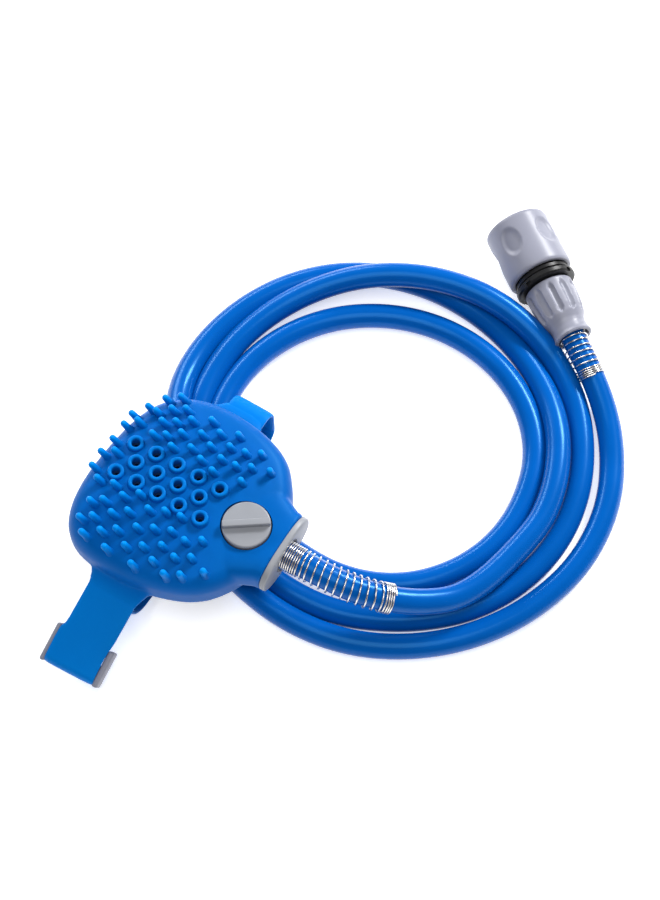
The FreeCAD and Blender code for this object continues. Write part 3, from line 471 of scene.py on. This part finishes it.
def along_path(path, distances):
    """Points and headings at distances along a path."""
    places = []
    index, passed = 0, 0.0
    for distance in distances:
        while index < len(path) - 2 and passed + (path[index + 1] - path[index]).length < distance:
            passed += (path[index + 1] - path[index]).length
            index += 1
        run = path[index + 1] - path[index]
        places.append((path[index] + run.normalized() * (distance - passed), run.normalized()))
    return places


SPRING_WIRE = 0.84
HEAD_SPRING_TURNS = [(8, 1.16), (2, 2.4), (10, 3.75), (1, 2.0), (4, 1.10)]
TAP_SPRING_TURNS = [(1, 2.0), (7, 3.1), (4, 1.08)]


def spring_turns(groups):
    """How far along the spring each turn lies, from groups of (turns, pitch)."""
    distance = 0.0
    for turns, pitch in groups:
        for _ in range(turns):
            yield distance
            distance += pitch
    yield distance


def add_spring(name, path, start, groups, radii, node, lean=1.0):
    """A wire wound round the hose in groups of (turns, pitch), widening from one radius to another."""
    per_turn = 20
    turns = list(spring_turns(groups))
    total = turns[-1]
    distances = []
    for distance, following in zip(turns, turns[1:]):
        for index in range(per_turn):
            distances.append(distance + (following - distance) * index / per_turn)
    distances.append(total)
    places = along_path(path, [(start + distance) * MM for distance in distances])
    curve = bpy.data.curves.new(name, "CURVE")
    curve.dimensions = "3D"
    curve.resolution_u = 2
    spline = curve.splines.new("NURBS")
    spline.points.add(len(places) - 1)
    side = Vector((0, 0, 1))
    for index, (point, (centre, heading)) in enumerate(zip(spline.points, places)):
        side = (side - heading * side.dot(heading)).normalized()
        other = heading.cross(side)
        share = distances[index] / total
        radius = (radii[0] + (radii[1] - radii[0]) * share) * MM
        angle = lean * 2 * math.pi * index / per_turn
        offset = side * math.cos(angle) + other * math.sin(angle)
        point.co = (*(centre + offset * radius), 1.0)
    spline.order_u = 3
    spline.use_endpoint_u = True
    curve.bevel_depth = SPRING_WIRE / 2 * MM
    curve.bevel_resolution = 3
    curve.use_fill_caps = True
    curve.materials.append(STEEL)
    spring = bpy.data.objects.new(name, curve)
    bpy.context.collection.objects.link(spring)
    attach(spring, "sprayer")
    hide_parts(node)
    return spring


# ---- silicone pad ------------------------------------------------------------------------------

PAD_MIDDLE = (5.0, 0.5)
PAD_BASE = 28.5
NOZZLE_MIDDLE, NOZZLE_PITCH, NOZZLE_ROW = (-3.0, -0.8), 12.3, 8.9
NOZZLE_BORE = 2.2
BLEND_VOXEL = 0.9
SKIN = 3.0
NUB_HEIGHT = 6.8
KNOB_MIDDLE, KNOB_HOLE = (42.0, 0.0), 12.8
# the pad's outline, anticlockwise from the hose's side, in mm
PAD_OUTLINE = [
    (56.0, 0.0), (55.5, 11.0), (54.0, 20.0), (51.0, 28.0), (47.0, 34.0), (41.5, 40.5), (34.5, 45.2),
    (26.0, 48.4), (16.0, 50.4), (4.0, 51.3), (-9.0, 50.6), (-20.0, 47.2), (-28.0, 41.5),
    (-33.2, 35.5), (-36.9, 27.5), (-39.4, 17.5), (-40.9, 6.0), (-42.0, -6.0), (-42.2, -18.0),
    (-41.0, -29.0), (-38.2, -37.5), (-34.0, -43.8), (-27.5, -48.3), (-18.0, -50.8), (-6.0, -51.4),
    (6.0, -50.9), (18.0, -48.7), (27.5, -45.6), (35.5, -41.8), (43.0, -35.8), (49.0, -27.5),
    (53.5, -18.0), (55.5, -9.0)]


def crown(x, y):
    away = math.hypot(x - CROWN_MIDDLE[0], y - CROWN_MIDDLE[1])
    return CROWN_TOP - CROWN_RADIUS + math.sqrt(CROWN_RADIUS ** 2 - away ** 2)


def pad_outline(inset, finer=3):
    """The outline as a smooth closed line, drawn in by an inset."""
    count = len(PAD_OUTLINE)
    points = []
    for index in range(count):
        p0, p1, p2, p3 = (Vector(PAD_OUTLINE[(index + step) % count]) for step in (-1, 0, 1, 2))
        for piece in range(finer):
            t = piece / finer
            points.append(0.5 * (2 * p1 + (p2 - p0) * t + (2 * p0 - 5 * p1 + 4 * p2 - p3) * t ** 2
                                 + (3 * p1 - p0 - 3 * p2 + p3) * t ** 3))
    drawn = []
    for index, point in enumerate(points):
        along = points[(index + 1) % len(points)] - points[index - 1]
        inward = Vector((-along.y, along.x)).normalized()
        drawn.append(point + inward * inset)
    return drawn


def pad_body(name, inset, drop, base, round_edge):
    """The domed pad as a closed mesh: crown, rounded edge, side wall and flat base."""
    middle = Vector(PAD_MIDDLE)
    rings = [[head(*middle, crown(*middle) - drop)]]
    steps = [(share / 10, round_edge, 0.0) for share in range(1, 10)]
    for index in range(10):
        angle = math.pi / 2 * index / 9
        steps.append((1.0, round_edge * (1 - math.sin(angle)), round_edge * (1 - math.cos(angle))))
    for share, draw, fall in steps:
        ring = []
        for point in pad_outline(inset + draw):
            place = middle.lerp(point, share)
            ring.append(head(*place, crown(*place) - drop - fall))
        rings.append(ring)
    for height, draw in ((36.0, 0.0), (base + 1.5, 0.0), (base + 0.4, 0.4), (base, 1.5)):
        rings.append([head(*point, height) for point in pad_outline(inset + draw)])
    rings.append([head(*middle, base)])
    return mesh_from_rings(name, rings)


def neck_body(name, inset, stations):
    """The neck, lofted through rounded sections (x, half width, low, high)."""
    rings = []
    power = 3.6
    for x, half, low, high in stations:
        ring = []
        middle, rise = (low + high) / 2, (high - low) / 2 - inset
        for index in range(64):
            angle = 2 * math.pi * index / 64
            along, across = math.cos(angle), math.sin(angle)
            reach = (abs(along) ** power + abs(across) ** power) ** (-1 / power)
            side = NECK_LINE[0] + (half - inset) * along * reach
            ring.append(head(x, side, middle + rise * across * reach))
        rings.append(ring)
    return mesh_from_rings(name, rings)


NECK_STATIONS = [
    (26.0, 28.5, 30.0, 49.5), (36.0, 28.0, 29.6, 50.0), (46.0, 27.0, 29.3, 50.2),
    (54.0, 23.0, 29.0, 50.4), (58.0, 21.0, 28.9, 50.5), (61.6, 20.6, 28.8, 50.6)]


def ribbon_rings(path, shape, thickness):
    """Rings of a strip along (y, z) points; shape(y) gives its middle and half width."""
    rings = []
    last = len(path) - 1
    for index, (y, z) in enumerate(path):
        before, after = path[max(index - 1, 0)], path[min(index + 1, last)]
        heading = Vector((0, after[0] - before[0], after[1] - before[1])).normalized()
        normal = Vector((1, 0, 0)).cross(heading)
        middle, half = shape(y)
        ring = []
        for corner in range(16):
            angle = 2 * math.pi * (corner + 0.5) / 16
            across = math.copysign(abs(math.cos(angle)) ** 0.35, math.cos(angle))
            through = math.copysign(abs(math.sin(angle)) ** 0.6, math.sin(angle))
            centre = head(middle, y, z)
            ring.append(centre + Vector((half * across * MM, 0, 0)) + normal * thickness / 2 * through * MM)
        rings.append(ring)
    return rings


CORNER_ROUNDS = 3


def smooth_path(points):
    """A line whose corners are cut back several times over."""
    line = [Vector((0, *point)) for point in points]
    for _ in range(CORNER_ROUNDS):
        finer = [line[0]]
        for near, far in zip(line, line[1:]):
            finer.append(near.lerp(far, 0.25))
            finer.append(near.lerp(far, 0.75))
        finer.append(line[-1])
        line = finer
    return [(point.y, point.z) for point in line]


def bend_points(centre, radius, first, last, count=8):
    for index in range(count + 1):
        angle = math.radians(first + (last - first) * index / count)
        yield (centre[0] + radius * math.cos(angle), centre[1] + radius * math.sin(angle))


def nozzle_places():
    for row, count in ((1, 5), (0, 4), (-1, 5)):
        for index in range(count):
            offset = index - (count - 1) / 2
            yield NOZZLE_MIDDLE[0] + offset * NOZZLE_PITCH, NOZZLE_MIDDLE[1] + row * NOZZLE_ROW


def nub_places():
    """Nubs stand in columns across the pad: x, first y, step and how many, on each side."""
    far = [(-39.2, 13.5, 7.0, 2), (-34.4, 18.5, 9.6, 2), (-29.6, 27.8, 8.7, 2),
           (-23.6, 15.6, 8.6, 4), (-17.4, 18.4, 9.0, 3), (-11.5, 14.3, 9.0, 3),
           (-2.7, 18.6, 9.4, 3), (4.8, 15.7, 8.8, 3), (13.1, 13.5, 8.0, 4),
           (21.0, 22.2, 8.8, 2), (28.0, 16.6, 9.2, 3), (36.8, 29.3, 9.0, 1)]
    near = [(-40.3, -13.2, 9.0, 1), (-34.1, -17.8, 9.0, 1), (-30.7, -29.3, 9.4, 2),
            (-25.2, -16.5, 9.4, 4), (-17.6, -19.7, 10.0, 3), (-10.9, -14.9, 10.3, 4),
            (-2.7, -19.6, 10.4, 3), (5.0, -16.4, 10.0, 4), (13.1, -14.8, 8.4, 4),
            (21.3, -23.9, 9.4, 3), (28.4, -19.4, 9.8, 3), (37.4, -32.0, 9.0, 1)]
    side = [(-39.4, 3.9, 9.0, 1), (-40.6, -4.8, 9.0, 1), (-34.8, -1.3, 9.0, 1)]
    for columns, direction in ((far, 1), (near, -1), (side, 1)):
        for x, first, step, count in columns:
            for index in range(count):
                yield x, first + direction * index * step


def nub_mesh(tip_x, tip_y):
    """A soft peg with a flared foot that leans towards the pad's outer end."""
    lean = Vector((-0.38 + 0.007 * tip_x, -0.1, 1.0)).normalized()
    x, y = tip_x - lean.x * NUB_HEIGHT, tip_y - lean.y * NUB_HEIGHT
    turn = lean.to_track_quat("Z", "Y").to_matrix().to_4x4()
    place = Matrix.Translation(head(x, y, crown(x, y))) @ turn @ Matrix.Scale(MM, 4)
    profile = [(2.45, -1.8), (2.2, -0.6), (2.0, 0.3), (1.88, 1.2), (1.8, 2.4), (1.75, 3.8), (1.72, 5.0),
               (1.62, 5.7), (1.32, 6.3), (0.8, 6.68), (0.0, NUB_HEIGHT)]
    return mesh_from_rings("nub", turned_rings(profile, place, 20))


def nozzle_mesh(x, y):
    """A raised ring round a jet, with a rounded lip and a deep bore."""
    place = upright_at(x, y, crown(x, y))
    profile = [(4.9, -0.6), (4.5, 0.1), (4.34, 0.7), (4.3, 1.5), (4.2, 2.05), (3.9, 2.42), (3.5, 2.55),
               (2.9, 2.55), (2.5, 2.4), (2.25, 2.0), (2.15, 1.2), (2.12, -2.9)]
    return mesh_from_rings("nozzle", turned_rings(profile, place, 40), closed_ends=False)


def remeshed(piece, voxel, rounds):
    """Blend a piece's joined bodies into one skin and round its creases."""
    remesh = piece.modifiers.new("blend", "REMESH")
    remesh.mode = "VOXEL"
    remesh.voxel_size = voxel * MM
    remesh.adaptivity = 0.0
    relax = piece.modifiers.new("round", "SMOOTH")
    relax.factor = 0.5
    relax.iterations = rounds
    applied(piece)


def wall_root(name, stations):
    """The thick foot of a strap where it grows out of the pad's wall: y, z, left, right, thickness."""
    rings = []
    for y, z, left, right, thick in stations:
        middle, half = (left + right) / 2, (right - left) / 2
        ring = []
        for index in range(24):
            angle = 2 * math.pi * (index + 0.5) / 24
            across = math.copysign(abs(math.cos(angle)) ** 0.5, math.cos(angle))
            through = math.copysign(abs(math.sin(angle)) ** 0.6, math.sin(angle))
            ring.append(head(middle + half * across, y, z + thick / 2 * through))
        rings.append(ring)
    return mesh_from_rings(name, rings)


TONGUE_ROOT = [
    (-36, 34.5, -20.8, 20.2, 9.0), (-46, 32.6, -18.8, 18.2, 7.5), (-50.5, 31.1, -16.7, 16.1, 5.4),
    (-54, 29.4, -15.2, 14.6, 3.4), (-58, 27.8, -14.2, 13.6, 2.3), (-65, 25.2, -13.6, 13.0, 1.5)]
WING_ROOT = [
    (38, 34.0, -24.0, 24.0, 10.0), (47, 32.0, -22.0, 21.0, 7.0), (51, 30.6, -18.5, 17.8, 4.6),
    (54, 29.9, -14.5, 15.8, 3.2), (57, 29.6, -10.8, 15.0, 2.6), (60, 29.5, -8.2, 14.7, 2.2)]


def add_pad():
    skin = pad_body("skin", 0.0, 0.0, PAD_BASE, 7.0)
    neck = neck_body("neck", 0.0, NECK_STATIONS)
    roots = [wall_root("tongue_root", TONGUE_ROOT), wall_root("wing_root", WING_ROOT)]
    pad = loose_object("scrubber_pad", join([skin, neck] + roots))
    remeshed(pad, BLEND_VOXEL, 6)
    cut_away(pad, pad_body("cavity", SKIN, SKIN, PAD_BASE - 3.0, 5.0))
    room = [(44.0, 19.0, 33.0, 46.0), (56.0, 18.0, 33.0, 46.0), (63.0, 17.0, 33.0, 46.0)]
    cut_away(pad, neck_body("neck_cavity", 0.0, room))
    knob_hole = turned_rings([(KNOB_HOLE, 0.0), (KNOB_HOLE, 20.0)], upright_at(*KNOB_MIDDLE, 44.0), 96)
    cut_away(pad, mesh_from_rings("knob_hole", knob_hole))
    bores = []
    for x, y in nozzle_places():
        place = upright_at(x, y, crown(x, y) - 8.0)
        bore = turned_rings([(NOZZLE_BORE, 0.0), (NOZZLE_BORE, 12.0)], place, 40)
        bores.append(mesh_from_rings("bore", bore))
    cut_away(pad, join(bores))
    details = [nub_mesh(x, y) for x, y in nub_places()]
    details += [nozzle_mesh(x, y) for x, y in nozzle_places()]
    pad.data = join([pad.data] + details)
    shade_smooth(pad.data, 42)
    pad.data.materials.append(SILICONE)
    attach(pad, "sprayer")
    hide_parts("scrubber_face")
    return pad


# The tongue and the buckle share a slant, measured from the buckle's outer bar.
SLANT = math.radians(20.0)
OUTER_BAR = (-94.8, 11.5)
BUCKLE_TURN = math.radians(3.0)
LOOP = 2.8               # of the silicone's middle round a bar
BAND_THICK, TONGUE_THICK = 2.3, 2.1


def slanted(along, above):
    return (OUTER_BAR[0] + along * math.cos(SLANT) - above * math.sin(SLANT),
            OUTER_BAR[1] + along * math.sin(SLANT) + above * math.cos(SLANT))


INNER_BAR = slanted(13.0, -2.6)


def round_bar(bar):
    return bend_points(bar, LOOP, 90 + math.degrees(SLANT), 270 + math.degrees(SLANT), 12)


def band_shape(y):
    """The band is wider and further along the hose's side at the wing than at the buckle."""
    across = max(0.0, min(1.0, (y + 43.0) / 100.0))
    return -1.2 + 5.0 * across, 10.7 + 0.3 * across


def add_strap():
    """The band: from the far rim down, along the floor, up and round the inner bar."""
    path = [(47.0, 29.9), (52.0, 29.6), (57.0, 29.5)]
    path += bend_points((60.2, 22.3), 7.2, 90, 0)
    path += [(67.4, 15.0)]
    path += bend_points((60.2, 8.2), 7.2, 0, -90)
    path += [(50, 1.0), (20, 1.0), (-10, 1.0), (-30, 1.0)]
    path += bend_points((-43.0, 14.0), 13.0, -90, -155)
    path += [(-57.2, 13.9)]
    path += bend_points((-65.2, 16.9), 6.0, 25, 108)
    path += round_bar(INNER_BAR)
    tail = slanted(22.0, -5.4)
    path += [tail]
    mesh = mesh_from_rings("hand_strap", ribbon_rings(smooth_path(path), band_shape, BAND_THICK))
    shade_smooth(mesh, 50)
    return add_piece("strap_band", mesh, SILICONE, "sprayer", ["hand_strap"])


def tongue_shape(y):
    """The tongue is a little wider where it goes through the buckle."""
    wider = max(0.0, min(1.0, (-79.0 - y) / 2.5))
    return -0.3 - 0.7 * wider, 13.4 + 0.5 * wider


def buckle_turned(mesh):
    """The buckle hangs slightly askew; the tongue's end follows it."""
    pivot = Matrix.Translation(head(0.0, *OUTER_BAR))
    turn = pivot @ Matrix.Rotation(SLANT, 4, "X") @ Matrix.Rotation(BUCKLE_TURN, 4, "Z")
    back = Matrix.Rotation(-SLANT, 4, "X") @ pivot.inverted()
    skewed = turn @ back
    for vertex in mesh.vertices:
        share = max(0.0, min(1.0, (head(0, -76.0, 0).y - vertex.co.y) / (12.0 * MM)))
        vertex.co = vertex.co.lerp(skewed @ vertex.co, share)
    return mesh


def add_tongue():
    path = [slanted(along, LOOP) for along in (54.0, 40.0, 28.0, 22.0, 18.0, 16.0, 14.0, 12.0, 8.0, 4.0)]
    path += round_bar(OUTER_BAR)
    path += [slanted(2.5, -LOOP), slanted(6.5, -LOOP)]
    rings = ribbon_rings(smooth_path(path), tongue_shape, TONGUE_THICK)
    mesh = buckle_turned(mesh_from_rings("tongue", rings))
    shade_smooth(mesh, 50)
    return add_piece("tongue", mesh, SILICONE, "sprayer", ["strap_tongue"])


# ---- grey and black pieces ---------------------------------------------------------------------

def bevelled_block(name, low, high, width, segments=4):
    """A block with rounded edges, given by corners in mm of its own coordinates."""
    mesh = bmesh.new()
    bmesh.ops.create_cube(mesh, size=1.0)
    for vertex in mesh.verts:
        for axis in range(3):
            vertex.co[axis] = low[axis] if vertex.co[axis] < 0 else high[axis]
    bmesh.ops.bevel(mesh, geom=list(mesh.edges), offset=width, segments=segments, profile=0.5,
                    affect="EDGES")
    data = bpy.data.meshes.new(name)
    mesh.to_mesh(data)
    mesh.free()
    return data


def add_knob():
    profile = [(0.0, 47.4), (11.7, 47.4), (12.0, 47.7), (12.1, 48.2), (12.1, 51.2), (11.98, 51.65),
               (11.65, 51.95), (11.1, 52.05), (6.0, 52.1), (0.0, 52.1)]
    disc = mesh_from_rings("knob_disc", turned_rings(profile, upright_at(*KNOB_MIDDLE, 0.0), 96))
    rib = bevelled_block("knob_rib", (-11.8, -1.75, 50.5), (11.8, 1.75, 55.1), 0.55)
    rib.transform(upright_at(*KNOB_MIDDLE, 0.0) @ Matrix.Rotation(math.radians(35.0), 4, "Z"))
    mesh = join([disc, rib])
    shade_smooth(mesh, 35)
    return add_piece("knob_cap", mesh, PALE_GREY, "water_knob", ["knob"])


def add_flange():
    """The oval plate that closes the neck, with a soft front edge."""
    rings = []
    power = 2.5
    for x, half, rise in ((61.5, 20.6, 11.0), (61.8, 21.0, 11.4), (63.8, 21.0, 11.4), (64.4, 20.7, 11.1),
                          (64.7, 20.1, 10.5), (64.75, 9.2, 9.2), (63.4, 8.8, 8.8)):
        ring = []
        for index in range(96):
            angle = 2 * math.pi * index / 96
            along, across = math.cos(angle), math.sin(angle)
            bend = power if half > 10 else 2.0
            reach = (abs(along) ** bend + abs(across) ** bend) ** (-1 / bend)
            ring.append(head(x, NECK_LINE[0] + half * along * reach, NECK_LINE[1] + rise * across * reach))
        rings.append(ring)
    mesh = mesh_from_rings("flange", rings)
    shade_smooth(mesh, 40)
    return add_piece("hose_flange", mesh, PALE_GREY, "sprayer", ["neck_flange"])


def add_buckle():
    """Two slanted rails joined by the bars."""
    slant = Matrix.Translation((0, *OUTER_BAR)) @ Matrix.Rotation(SLANT, 4, "X")
    parts = []
    for left, right, top in ((-17.5, -15.0, 2.3), (12.2, 15.4, 1.7)):
        rail = bevelled_block("rail", (left, -3.9, -5.0), (right, 16.0, top), 1.1, 5)
        rail.transform(slant)
        parts.append(rail)
    for bar in (OUTER_BAR, INNER_BAR):
        rings = turned_rings([(1.5, -16.6), (1.5, 14.8)], Matrix.Translation((0, *bar))
                             @ Matrix.Rotation(math.radians(90), 4, "Y"), 24)
        parts.append(mesh_from_rings("bar", rings))
    mesh = join(parts)
    mesh.transform(upright_at(0.0, 0.0, 0.0))
    buckle_turned(mesh)
    shade_smooth(mesh, 40)
    return add_piece("buckle", mesh, GREY, "sprayer", ["strap_buckle"])


TAP_MOUTH, TAP_HEADING = (64.0, 233.3, 17.5), math.radians(-36.0)


def tap_place():
    """The connector's own coordinates in mm: Z from its mouth to the hose, X up."""
    along = Vector((math.cos(TAP_HEADING), math.sin(TAP_HEADING), 0))
    up = Vector((0, 0, 1))
    side = along.cross(up)
    turn = Matrix((up, side, along)).transposed().to_4x4()
    return Matrix.Translation(head(*TAP_MOUTH)) @ turn @ Matrix.Scale(MM, 4)


def soft_turned(name, profile, relief, segments=180):
    """A turned piece whose radius also changes round it, by relief(angle, height)."""
    place = tap_place()
    rings = []
    for radius, height in profile:
        ring = []
        for index in range(segments):
            angle = 2 * math.pi * index / segments
            reach = radius + relief(math.degrees(angle), height, radius)
            ring.append(place @ Vector((reach * math.cos(angle), reach * math.sin(angle), height)))
        rings.append(ring)
    rings.append(rings[0])
    mesh = mesh_from_rings(name, rings, closed_ends=False)
    return mesh


def nearest_gap(angle, first, count):
    step = 360.0 / count
    return (angle - first + step / 2) % step - step / 2


def stations(*runs):
    """Points along a profile: each run is (radius, height, radius, height, pieces)."""
    for r_start, h_start, r_end, h_end, pieces in runs:
        for index in range(pieces):
            share = index / pieces
            yield (r_start + (r_end - r_start) * share, h_start + (h_end - h_start) * share)


DIMPLES, DIMPLE_MIDDLE, DIMPLE_HALF_WIDE, DIMPLE_HALF_LONG = 5, 14.0, 5.8, 8.2


def collar_relief(angle, height, radius):
    """Long oval thumb dimples, on the outer wall only."""
    if radius < 16.4:
        return 0.0
    across = math.radians(nearest_gap(angle, 36.0, DIMPLES)) * radius / DIMPLE_HALF_WIDE
    along = (height - DIMPLE_MIDDLE) / DIMPLE_HALF_LONG
    inside = 1.0 - across ** 2 - along ** 2
    if inside <= 0:
        return 0.0
    return -1.25 * min(1.0, inside * 1.9) ** 0.8


def add_collar():
    profile = list(stations(
        (14.6, 3.5, 14.6, 0.9, 2), (14.6, 0.9, 15.1, 0.1, 2), (15.1, 0.1, 16.2, 0.0, 2),
        (16.2, 0.0, 17.1, 0.5, 3), (17.1, 0.5, 17.4, 1.6, 2), (17.4, 1.6, 17.5, 29.5, 40),
        (17.5, 29.5, 17.4, 31.8, 2), (17.4, 31.8, 16.9, 32.7, 3), (16.9, 32.7, 16.3, 33.0, 2),
        (16.3, 33.0, 15.2, 33.0, 2), (15.2, 33.0, 15.2, 8.5, 4), (15.2, 8.5, 13.2, 8.5, 2),
        (13.2, 8.5, 13.2, 3.5, 2), (13.2, 3.5, 14.6, 3.5, 2)))
    mesh = soft_turned("collar", profile, collar_relief)
    shade_smooth(mesh, 40)
    return add_piece("tap_collar_shell", mesh, GREY, "tap_collar", ["release_collar"])


def squeeze_collar_spring():
    """The spring inside the collar gets a mesh of its own."""
    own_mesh(frame["nodes"]["collar_spring"])


FLUTES, FLUTE_START, FLUTE_END = 11, 43.0, 61.5


def nut_relief(angle, height, radius):
    """Rounded flutes that fade out at both ends."""
    if radius < 9.0 or not FLUTE_START < height < FLUTE_END:
        return 0.0
    across = math.radians(nearest_gap(angle, 10.9, FLUTES)) * radius / 2.0
    ends = min((height - FLUTE_START) / 3.5, (FLUTE_END - height) / 2.5, 1.0)
    inside = 1.0 - (across / (0.35 + 0.65 * max(ends, 0.0))) ** 2
    if inside <= 0:
        return 0.0
    return -1.5 * inside ** 0.7 * min(1.0, ends * 1.4)


def add_nut():
    profile = list(stations(
        (11.05, 41.0, 12.6, 41.0, 2), (12.6, 41.0, 13.2, 41.6, 2), (13.2, 41.6, 13.25, 50.0, 14),
        (13.25, 50.0, 12.5, 57.0, 14), (12.5, 57.0, 11.6, 61.0, 8), (11.6, 61.0, 9.9, 64.5, 6),
        (9.9, 64.5, 9.4, 67.0, 3), (9.4, 67.0, 9.7, 70.5, 4), (9.7, 70.5, 10.4, 72.2, 3),
        (10.4, 72.2, 10.0, 73.0, 2), (10.0, 73.0, 8.6, 73.0, 2), (8.6, 73.0, 8.6, 61.5, 2),
        (8.6, 61.5, 11.05, 52.0, 2), (11.05, 52.0, 11.05, 41.0, 2)))
    mesh = soft_turned("nut", profile, nut_relief)
    shade_smooth(mesh, 45)
    return add_piece("hose_nut_shell", mesh, GREY, "sprayer", ["hose_nut"])


# ---- the whole object --------------------------------------------------------------------------

add_camera()
add_studio()
add_floor()
dress_cad()
hose, hose_path = add_hose()
head_spring = add_spring("head_spring", hose_path, 4.9, HEAD_SPRING_TURNS, (7.2, 7.5), "hose_spring_head")
tap_spring = add_spring("tap_spring", hose_path[::-1], 24.0, TAP_SPRING_TURNS, (7.2, 7.4), "hose_spring_tap",
                        lean=-1.0)
add_pad()
add_strap()
add_tongue()
add_knob()
add_flange()
add_buckle()
collar = add_collar()
nut = add_nut()

squeeze_collar_spring()
